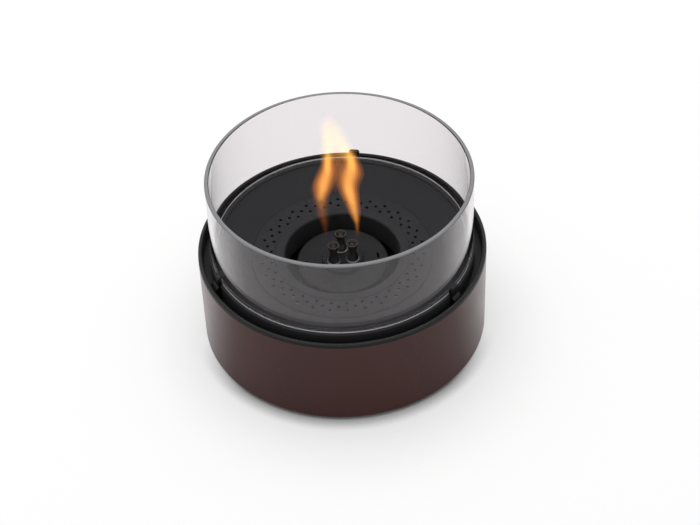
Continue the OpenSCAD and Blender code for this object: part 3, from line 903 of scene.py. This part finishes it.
class FIREBOWL_OT_glass_clips(Operator):
    """Folded clips that keep the glass in the middle of the tray, and their rivets"""

    bl_idname = "fire_bowl.glass_clips"
    bl_label = "Glass clips"

    # Room between a clip and the pan or the glass, and thickness of the tab beside the glass
    ROOM, TAB = 0.3 * MM, 1.6 * MM
    # Rounding of the folded edges, and slices across the width
    EDGE, EDGE_SEGMENTS, SLICES = 0.3 * MM, 3, 24

    def execute(self, context):
        paint = clip_paint()
        for name in numbered("glass_clip"):
            self.clip(name, paint)
        dress_node("clip_rivets", zinc_plate(), FITTING_EDGE)
        return {"FINISHED"}

    def clip(self, name, paint):
        """A block in the trough with a tab beside the glass, lofted across its width"""
        s = sizes()
        low, high = bottom(name), top(name)
        skirt, ledge = reach("burner_tray"), top("burner_tray")
        block_top = top("base_shell")
        block = reach("liner_pan") - s.rim_width - self.ROOM
        tab = skirt + self.TAB
        face = reach("glass_cylinder") + self.ROOM
        half = s.clip_width / 2
        across = Matrix.Rotation(math.atan2(middle(name).y, middle(name).x), 3, "Z")
        bm = bmesh.new()
        slices = []
        for k in range(self.SLICES + 1):
            x = half * math.sin(math.pi * (k / self.SLICES - 0.5))
            past = max(abs(x) - half + s.clip_corner, 0)
            crest = high - s.clip_corner + math.sqrt(max(s.clip_corner ** 2 - past ** 2, 0))
            section = [
                (skirt, low), (block, low), (block, block_top), (tab, block_top + block - tab),
                (tab, crest), (face, crest), (face, ledge), (skirt, ledge),
            ]
            points = [across @ Vector((math.sqrt(r * r - x * x), x, z)) for r, z in section]
            slices.append([bm.verts.new(p) for p in points])
        loft(bm, slices)
        obj = to_piece(name + "_folded", bm, paint, "tray", "clip_black", name)
        soften(obj, self.EDGE, self.EDGE_SEGMENTS)


class FIREBOWL_OT_glass_cylinder(Operator):
    """Clear wind guard with ground edges"""

    bl_idname = "fire_bowl.glass_cylinder"
    bl_label = "Glass cylinder"

    def execute(self, context):
        s, tint = sizes(), colours()
        outer, low, high = extent("glass_cylinder")
        inner = outer - s.glass_wall
        line = low + s.glass_line
        outline = rounded([
            (inner, low, s.glass_edge), (outer, low, s.glass_foot), (outer, line, 0),
            (outer, high, s.glass_edge), (inner, high, s.glass_edge),
        ])
        bm = turned(outline, 2 * TURN_STEPS)
        for face in bm.faces:
            place = face.calc_center_median()
            if place.z > high - s.glass_edge and place.xy.length > inner + s.glass_edge / 2:
                face.material_index = 1
            elif place.z < line and place.xy.length > outer - s.glass_foot:
                face.material_index = 2
        obj = to_piece("glass_cylinder_ground", bm, clear_glass(), "glass", "clear_glass", "glass_cylinder")
        obj.data.materials.append(ground_glass("ground glass edge", tint.glass_ground, 0.0))
        # The foot's white is a painted highlight on the same ground glass as the grey top edge
        obj.data.materials.append(ground_glass("ground glass foot, painted highlight", tint.glass_foot, 1.0))
        return {"FINISHED"}


class FIREBOWL_OT_fuel_can(Operator):
    """Drawn fuel can with a rounded bottom edge"""

    bl_idname = "fire_bowl.fuel_can"
    bl_label = "Fuel can"

    def execute(self, context):
        s = sizes()
        outer, low, high = extent("fuel_can")
        inner, floor = outer - s.can_sheet, low + s.can_sheet
        edge = s.can_sheet / 3
        outline = rounded([
            (0, low, 0), (outer, low, s.can_edge), (outer, high, edge), (inner, high, edge),
            (inner, floor, s.can_edge / 2), (0, floor, 0),
        ])
        bm = turned(outline)
        to_piece("fuel_can_drawn", bm, heatproof_paint(), "burner_can", "can_black", "fuel_can")
        return {"FINISHED"}


class FIREBOWL_OT_can_lid(Operator):
    """Pressed lid of the can, with a neck hole and two slots to lift it by"""

    bl_idname = "fire_bowl.can_lid"
    bl_label = "Can lid"

    # Lifting slots, their distance from the lid's edge, and half of a slot's width and length
    SLOTS, SLOT_INSET = 2, 7 * MM
    SLOT_HALF = Vector((0.7 * MM, 2.5 * MM))

    def execute(self, context):
        s, n = sizes(), counts()
        outer, low, high = extent("can_lid")
        inner, under = outer - s.can_sheet, high - s.can_sheet
        neck = reach("wick_plug") - s.plug_overlap
        edge = s.can_sheet / 3
        outline = rounded([
            (inner, low, edge), (outer, low, edge), (outer, high, s.can_edge), (neck, high, edge),
            (neck, under, edge), (inner, under, edge),
        ])
        slot_ring = outer - self.SLOT_INSET
        corners = [self.SLOT_HALF * Vector(side) for side in ((-1, -1), (1, -1), (1, 1), (-1, 1))]
        holes = []
        for half_turn in turns(self.SLOTS):
            turn = n.slot_turn + half_turn
            holes.append([spot(slot_ring, turn) + Matrix.Rotation(turn, 2) @ corner for corner in corners])
        bm = punched(outline, (high, under), slot_ring, holes)
        to_piece("can_lid_pressed", bm, heatproof_paint(), "burner_can", "can_black", "can_lid")
        return {"FINISHED"}


class FIREBOWL_OT_wick_plug(Operator):
    """Turned plug with a bevelled flange on the lid, its gasket, and the nuts under it"""

    bl_idname = "fire_bowl.wick_plug"
    bl_label = "Wick plug"

    # Room between the plug and the lid's neck
    ROOM = 0.3 * MM
    # Rounding of the body's foot, of the corner under the flange, and of the flange's two edges
    FOOT_EDGE, CORNER, LOWER_EDGE, UPPER_EDGE = 0.4 * MM, 0.1 * MM, 0.2 * MM, 0.6 * MM

    def execute(self, context):
        dress_node("nozzle_nuts", zinc_plate(), FITTING_EDGE)
        dress_node("plug_gasket", moulded_rubber(), GASKET_EDGE)
        flange, low, high = extent("wick_plug")
        body = flange - sizes().plug_overlap - self.ROOM
        seat = top("plug_gasket")
        outline = rounded([
            (0, low, 0), (body, low, self.FOOT_EDGE), (body, seat, self.CORNER),
            (flange, seat, self.LOWER_EDGE), (flange, high, self.UPPER_EDGE), (0, high, 0),
        ])
        bm = turned(outline, 2 * SMALL_TURN_STEPS)
        to_piece("wick_plug_turned", bm, heatproof_paint(), "wick_holder", "can_black", "wick_plug")
        return {"FINISHED"}


class FIREBOWL_OT_wicks(Operator):
    """Wicks: rods of braided strands that cross each other"""

    bl_idname = "fire_bowl.wicks"
    bl_label = "Wicks"

    # Strands each way round, the height of one turn of a strand, and how far strands stand out
    STRANDS, PITCH, RELIEF = 6, 7 * MM, 0.1 * MM
    ROWS, COLUMNS = 160, 48

    def execute(self, context):
        braid = fibre_braid()
        for name in numbered("wick"):
            bm = self.rod(bottom(name), top(name))
            stand_at(bm, name)
            to_piece(name + "_braided", bm, braid, "wick_holder", "wick_fibre", name)
        return {"FINISHED"}

    def rod(self, low, high):
        """Mesh of one rod on the Z axis"""
        radius = sizes().wick / 2
        bm = bmesh.new()
        loops = []
        for i in range(self.ROWS + 1):
            z = low + (high - low) * i / self.ROWS
            twist = 2 * math.pi * (z - low) / self.PITCH
            loop = []
            for a in turns(self.COLUMNS):
                over = math.cos(self.STRANDS * a + twist * self.STRANDS / 2)
                under = math.cos(self.STRANDS * a - twist * self.STRANDS / 2)
                r = radius - self.RELIEF * (1 - max(over, under)) / 2
                loop.append(bm.verts.new((r * math.cos(a), r * math.sin(a), z)))
            loops.append(loop)
        loft(bm, loops)
        return bm


class FIREBOWL_OT_wick_nozzles(Operator):
    """Nozzles with a bell-shaped foot, a thin neck and a flared mouth with a funnel"""

    bl_idname = "fire_bowl.wick_nozzles"
    bl_label = "Wick nozzles"

    # Room round the wick, and rounding of the bore's and of the stem's edge
    WICK_ROOM, BORE_EDGE, STEM_EDGE = 0.06 * MM, 0.2 * MM, 0.3 * MM
    # Height of the foot, the rounding of its edge, and the step from it to the bell
    FOOT, FOOT_EDGE, FOOT_STEP = 1 * MM, 0.45 * MM, 0.5 * MM
    # Height at which the neck begins, and its length
    WAIST, NECK = 8 * MM, 1 * MM
    # Width of the mouth's lip, and depth of the funnel
    LIP, FUNNEL = 0.6 * MM, 4 * MM

    def execute(self, context):
        steel = turned_steel()
        for name in numbered("wick_nozzle"):
            bm = turned(self.outline(name), SMALL_TURN_STEPS)
            stand_at(bm, name)
            to_piece(name + "_turned", bm, steel, "wick_holder", "nozzle_steel", name)
        return {"FINISHED"}

    def outline(self, name):
        """Closed outline of one nozzle, from the foot of its bore round the outside and back"""
        s = sizes()
        low, high, foot = bottom(name), top(name), half_width(name)
        stem, neck, mouth = s.nozzle_stem / 2, s.nozzle_neck / 2, s.nozzle_mouth / 2
        bore, lip = s.wick / 2 + self.WICK_ROOM, self.LIP
        seat = top("wick_plug")
        shoulder, waist = seat + self.FOOT, seat + self.WAIST
        outside = rounded([
            (bore, low, self.BORE_EDGE), (stem, low, self.STEM_EDGE), (stem, seat, 0), (foot, seat, 0)])
        outside += rounded([
            (0, seat, 0), (foot, seat, 0), (foot, shoulder, self.FOOT_EDGE), (0, shoulder, 0)])[2:-1]
        outside += bell((foot - self.FOOT_STEP, shoulder), (neck, waist))
        outside += bell((neck, waist + self.NECK), (mouth, high - lip))
        inside = rounded([
            (mouth, high - lip, 0), (mouth, high, lip / 2), (mouth - lip, high, lip / 3),
            (bore, high - self.FUNNEL, self.BORE_EDGE), (bore, low, 0)])[1:-1]
        return outside + inside


class FIREBOWL_OT_flames(Operator):
    """Two tongues of flame that rise from the nozzles and join"""

    bl_idname = "fire_bowl.flames"
    bl_label = "Flames"

    # Centre across, height above the mouth, spread across and spread in depth, in millimetres
    STREAMS = {
        "flame_left": (
            (-13.0, 29, 0.3, 0.2), (-13.0, 33, 1.7, 0.25), (-12.9, 36, 2.3, 0.45), (-12.8, 41, 2.3, 1.5),
            (-11.8, 45, 2.5, 2.4), (-10.6, 51.5, 3.1, 2.7), (-9.3, 57, 3.1, 2.55), (-7.8, 63, 2.7, 2.6),
            (-7.4, 68, 2.0, 2.7), (-7.1, 74, 1.8, 1.6), (-6.8, 80, 0.3, 0.2),
        ),
        "flame_right": (
            (10.9, 8, 0.3, 0.2), (10.8, 12, 0.8, 0.25), (10.7, 15.5, 0.9, 0.45), (10.3, 19.5, 1.3, 1.2),
            (9.4, 26, 1.85, 1.8), (8.6, 32, 2.1, 2.25), (7.6, 38, 2.4, 2.9), (6.5, 43, 2.75, 3.1),
            (5.9, 49, 3.1, 2.9), (6.6, 55, 3.7, 2.3), (7.6, 60, 3.8, 2.7), (8.6, 65, 3.0, 3.2),
            (8.6, 70, 2.2, 3.3), (7.6, 76, 1.8, 1.6), (6.6, 82, 0.3, 0.2),
        ),
    }
    FAINT_STREAMS = {
        "flame_foot_left": (
            (-10.2, 5, 0.3, 0.2), (-11.0, 10, 0.9, 0.45), (-11.2, 14.5, 1.2, 0.55), (-11.6, 19, 1.5, 1.1),
            (-12.5, 24, 1.9, 1.4), (-12.8, 29, 2.1, 1.7), (-12.8, 34, 2.2, 1.8), (-12.8, 39, 1.6, 1.0),
            (-12.6, 43, 0.3, 0.3),
        ),
        "flame_foot_right": (
            (10.9, 3, 0.3, 0.2), (10.9, 6, 0.9, 0.4), (10.9, 10, 0.9, 0.8), (10.8, 14.6, 0.9, 1.0),
            (10.4, 19, 1.0, 0.9), (10.0, 23, 0.3, 0.3),
        ),
        "flame_side": (
            (-13.5, 36, 0.3, 0.3), (-15.5, 42, 1.5, 1.0), (-16.2, 47, 1.8, 1.6), (-15.0, 53, 1.8, 1.2),
            (-12.5, 59, 1.2, 0.6), (-11.0, 63, 0.3, 0.3),
        ),
        "flame_middle": (
            (-3.0, 44, 0.3, 0.3), (-1.6, 52, 2.2, 0.7), (-1.0, 60, 3.0, 1.4), (-0.6, 66, 3.6, 2.6),
            (-0.4, 73, 3.6, 3.2), (-0.6, 81, 0.3, 0.3),
        ),
    }
    TIPS = {
        "flame_tip_left": (
            (-7.8, 59, 0.3, 0.3), (-7.5, 66, 1.4, 1.2), (-7.2, 71, 1.8, 1.6), (-6.6, 76, 2.3, 2.4),
            (-6.1, 81, 2.5, 2.7), (-6.0, 88, 2.6, 2.4), (-7.0, 95, 2.2, 1.7), (-7.5, 101, 2.2, 1.2),
            (-6.6, 106, 2.2, 0.6), (-6.0, 112, 0.3, 0.2),
        ),
        "flame_tip_right": (
            (8.8, 61, 0.3, 0.3), (8.7, 67, 1.6, 1.4), (8.0, 72, 2.0, 1.6), (5.6, 76, 2.8, 2.4),
            (3.7, 81, 3.4, 3.0), (1.4, 88, 2.9, 2.0), (-0.9, 95, 3.1, 1.8), (-2.5, 101, 2.7, 1.2),
            (-3.0, 106, 1.7, 0.5), (-4.0, 111, 0.3, 0.2),
        ),
    }
    # Reach in spreads, and light per metre of depth, of the nested layers from the outside to the core
    OUTER_LAYERS = ((2.5, 14.0), (1.9, 22.0))
    INNER_LAYERS = ((1.4, 33.0), (0.95, 36.0), (0.5, 26.0))
    # Light of the faint streams and of the tips, against the light of the streams
    FAINT, PALE = 0.2, 0.4
    # Share of the light behind a flame that it takes away, against the light that it gives
    SOOT = 0.25
    # Rise of a layer's ends in millimetres, so that no two nested layers share a plane
    STAGGER = 0.3
    # Steps between two stations, and segments round a tongue
    STEPS, COLUMNS = 6, 32

    def execute(self, context):
        paint = colours()
        layers = self.OUTER_LAYERS + self.INNER_LAYERS
        self.burn("flame", self.STREAMS, paint.flame, self.OUTER_LAYERS)
        self.burn("flame core", self.STREAMS, paint.flame_core, self.INNER_LAYERS)
        self.burn("faint flame", self.FAINT_STREAMS, paint.flame, layers, self.FAINT)
        self.burn("flame tip", self.TIPS, paint.flame_tip, layers, self.PALE)
        return {"FINISHED"}

    def burn(self, finish, tongues, tone, layers, share=1.0):
        """Nested layers of each tongue, which add up to a soft glow"""
        for spread, strength in layers:
            light = strength * share
            vapour = flame_light(f"{finish} {spread}", tone, light, light * self.SOOT)
            lift = self.STAGGER / spread
            for name, stations in tongues.items():
                scaled = [(x, z + lift, wide * spread, deep * spread) for x, z, wide, deep in stations]
                self.tongue(f"{name}_{spread}", scaled, vapour)

    def tongue(self, name, stations, vapour):
        """A closed form through the stations, with smooth curves between them"""
        base = Vector((0, 0, top("wick_nozzle_1")))
        points = [Vector(station) for station in stations]
        path = []
        for i in range(len(points) - 1):
            before, here = points[max(i - 1, 0)], points[i]
            there, after = points[i + 1], points[min(i + 2, len(points) - 1)]
            for k in range(self.STEPS):
                path.append(smooth_between(before, here, there, after, k / self.STEPS))
        path.append(points[-1])
        bm = bmesh.new()
        loops = []
        for x, z, wide, deep in path:
            ring = [Vector((x + wide * math.cos(a), deep * math.sin(a), z)) for a in turns(self.COLUMNS)]
            loops.append([bm.verts.new(p * MM + base) for p in ring])
        loft(bm, loops)
        bmesh.ops.recalc_face_normals(bm, faces=bm.faces)
        obj = to_object(name, to_mesh(name, bm, vapour))
        obj.visible_shadow = False
        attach(obj, "wick_holder")


class FIREBOWL_OT_studio(Operator):
    """White floor, an even sky, a wide soft lamp overhead and the camera"""

    bl_idname = "fire_bowl.studio"
    bl_label = "Studio"

    def execute(self, context):
        self.floor()
        self.sky()
        self.lamp()
        self.camera()
        bpy.context.scene.view_settings.view_transform = "Standard"
        return {"FINISHED"}

    def floor(self):
        """A wide level floor under the foot pads"""
        bm = bmesh.new()
        bmesh.ops.create_grid(bm, x_segments=8, y_segments=8, size=FLOOR_HALF)
        obj = to_object("floor", to_mesh("floor", bm, studio_floor()))
        obj.location.z = -FLOOR_DROP

    def sky(self):
        """An even sky: white to the eye, in mirrors and through glass, and softer as light"""
        world = bpy.data.worlds.new("studio sky")
        bpy.context.scene.world = world
        world.use_nodes = True
        world.node_tree.nodes.clear()
        add = adder(world.node_tree)
        shown = in_sight(add, "Is Camera Ray", "Is Glossy Ray", "Is Transmission Ray")
        strength = add("ShaderNodeMapRange", {"Value": shown, "To Min": SKY_LIGHT, "To Max": 1.0})
        sky = add("ShaderNodeBackground", {"Color": (1, 1, 1, 1), "Strength": strength.outputs["Result"]})
        add("ShaderNodeOutputWorld", {"Surface": sky.outputs[0]})

    def lamp(self):
        """A square soft lamp that faces the bowl"""
        light = bpy.data.lights.new("overhead_lamp", "AREA")
        light.size = LAMP_SIDE
        light.energy = LAMP_POWER
        obj = to_object("overhead_lamp", light)
        obj.location = LAMP_PLACE
        obj.rotation_euler = (LAMP_AIM - LAMP_PLACE).to_track_quat("-Z", "Y").to_euler()

    def camera(self):
        """The photograph's camera: above and in front, with a slight roll"""
        camera = bpy.data.cameras.new("camera")
        camera.sensor_width = CAMERA_SENSOR
        camera.lens = CAMERA_LENS
        obj = to_object("camera", camera)
        turn = Matrix.Rotation(math.pi / 2 - CAMERA_TILT, 4, "X") @ Matrix.Rotation(CAMERA_ROLL, 4, "Z")
        obj.matrix_world = Matrix.Translation(CAMERA_PLACE) @ turn
        bpy.context.scene.camera = obj


class FIREBOWL_PT_panel(Panel):
    """Lists the pieces of the fire bowl, in the order in which they are made"""

    bl_idname = "FIREBOWL_PT_panel"
    bl_label = "Fire bowl"
    bl_space_type = "VIEW_3D"
    bl_region_type = "UI"
    bl_category = "Fire bowl"

    def draw(self, context):
        for operator in OPERATORS:
            self.layout.operator(operator.bl_idname)
        for group in GROUPS:
            box = self.layout.box()
            values = getattr(context.scene, group)
            for key in values.__annotations__:
                box.prop(values, key)


OPERATORS = (
    FIREBOWL_OT_base_shell, FIREBOWL_OT_liner_pan, FIREBOWL_OT_base_fittings, FIREBOWL_OT_foot_pads,
    FIREBOWL_OT_burner_tray, FIREBOWL_OT_glass_clips, FIREBOWL_OT_glass_cylinder, FIREBOWL_OT_fuel_can,
    FIREBOWL_OT_can_lid, FIREBOWL_OT_wick_plug, FIREBOWL_OT_wicks, FIREBOWL_OT_wick_nozzles,
    FIREBOWL_OT_flames, FIREBOWL_OT_studio,
)
GROUPS = {
    "fire_bowl_sizes": FireBowlSizes, "fire_bowl_counts": FireBowlCounts,
    "fire_bowl_colours": FireBowlColours,
}


def register():
    """Registers the property groups, the operators and the panel."""
    for name, group in GROUPS.items():
        bpy.utils.register_class(group)
        setattr(bpy.types.Scene, name, PointerProperty(type=group))
    for kind in (*OPERATORS, FIREBOWL_PT_panel):
        bpy.utils.register_class(kind)


def unregister():
    """Takes away what register adds."""
    for kind in reversed((*OPERATORS, FIREBOWL_PT_panel)):
        bpy.utils.unregister_class(kind)
    for name, group in GROUPS.items():
        delattr(bpy.types.Scene, name)
        bpy.utils.unregister_class(group)


def main():
    """Makes every piece and the studio."""
    register()
    for operator in OPERATORS:
        group, name = operator.bl_idname.split(".")
        getattr(getattr(bpy.ops, group), name)()
    bpy.context.view_layer.update()


if __name__ == "__main__":
    main()
